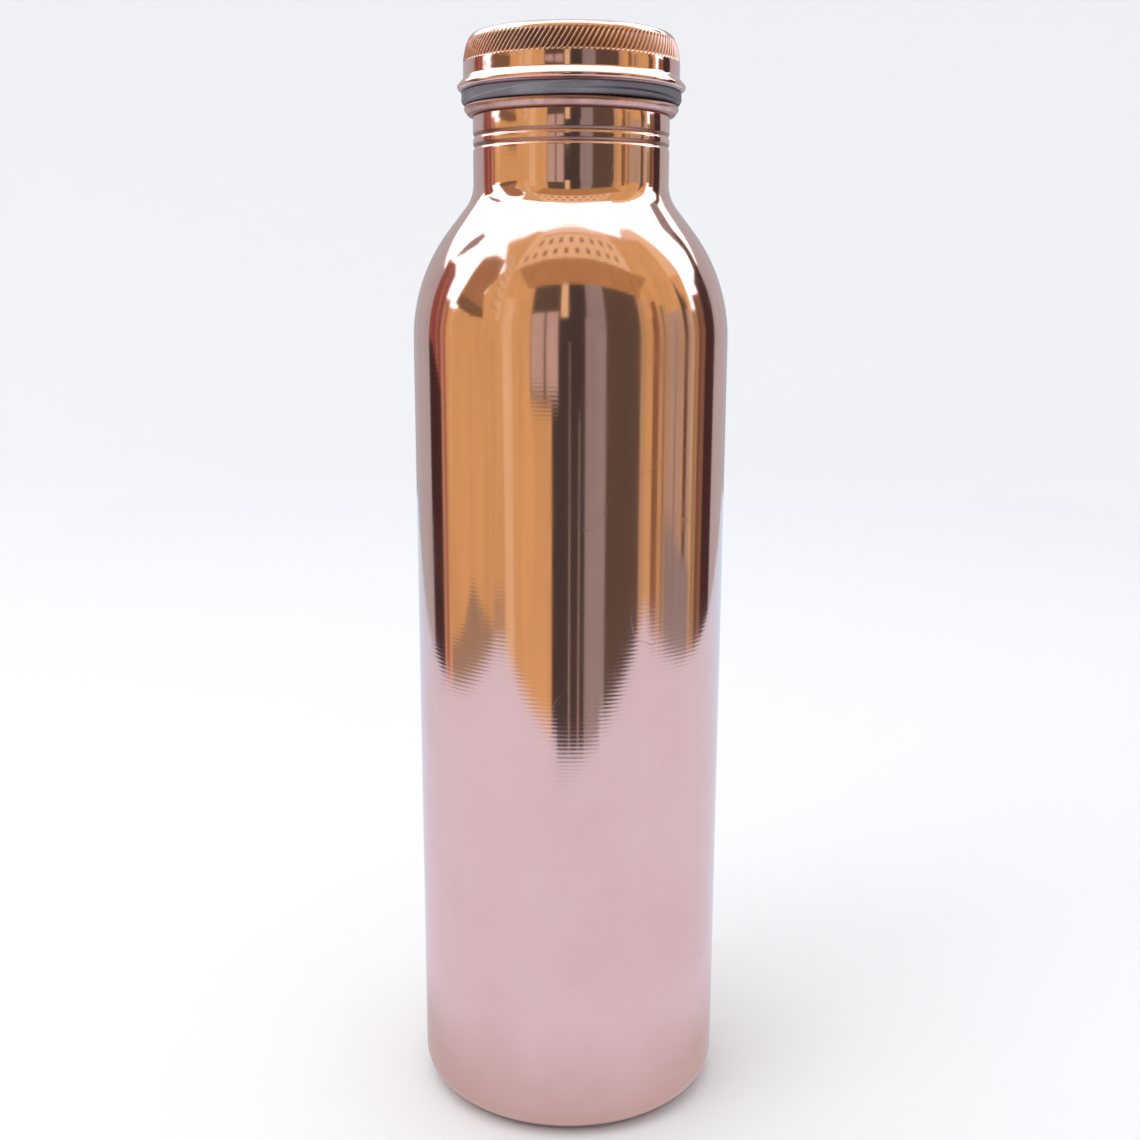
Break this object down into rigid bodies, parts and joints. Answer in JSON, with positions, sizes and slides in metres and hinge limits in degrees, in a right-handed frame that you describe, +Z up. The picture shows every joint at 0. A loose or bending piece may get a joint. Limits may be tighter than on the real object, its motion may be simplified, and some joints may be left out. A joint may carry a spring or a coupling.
{
  "type": "copper water bottle",
  "caption": "Tall cylindrical copper water bottle with a domed shoulder, short crimped neck, rubber washer and a knurled screw cap on a hollow threaded stem.",
  "frame": {"origin": "centre of the ring that the bottle stands on", "axes": "+Z up along the bottle's axis, towards the cap; X and Y are any two directions across it"},
  "size_m": [0.076, 0.076, 0.262],
  "materials": {
    "copper": "polished copper, finely spun",
    "copper_inside": "satin copper",
    "washer": "matt grey silicone rubber"
  },
  "bodies": {
    "bottle": {"body_shell": "copper", "base_disc": "copper_inside", "neck_collar": "copper"},
    "seal": {"sealing_washer": "washer"},
    "cap": {"cap_shell": "copper", "cap_inner_plate": "copper_inside", "cap_stem": "copper_inside"}
  },
  "joints": [
    {"name": "cap_lift", "type": "slide", "parent": "bottle", "child": "seal", "axis": [0, 0, 1], "range_m": [0, 0.01]},
    {"name": "cap_turn", "type": "hinge", "parent": "seal", "child": "cap", "pos_m": [0, 0, 0.2492], "axis": [0, 0, 1], "range_deg": [0, 900]}
  ],
  "couplings": [
    {"joint": "cap_lift", "follows": "cap_turn", "m_per_rad": 0.00063662}
  ]
}
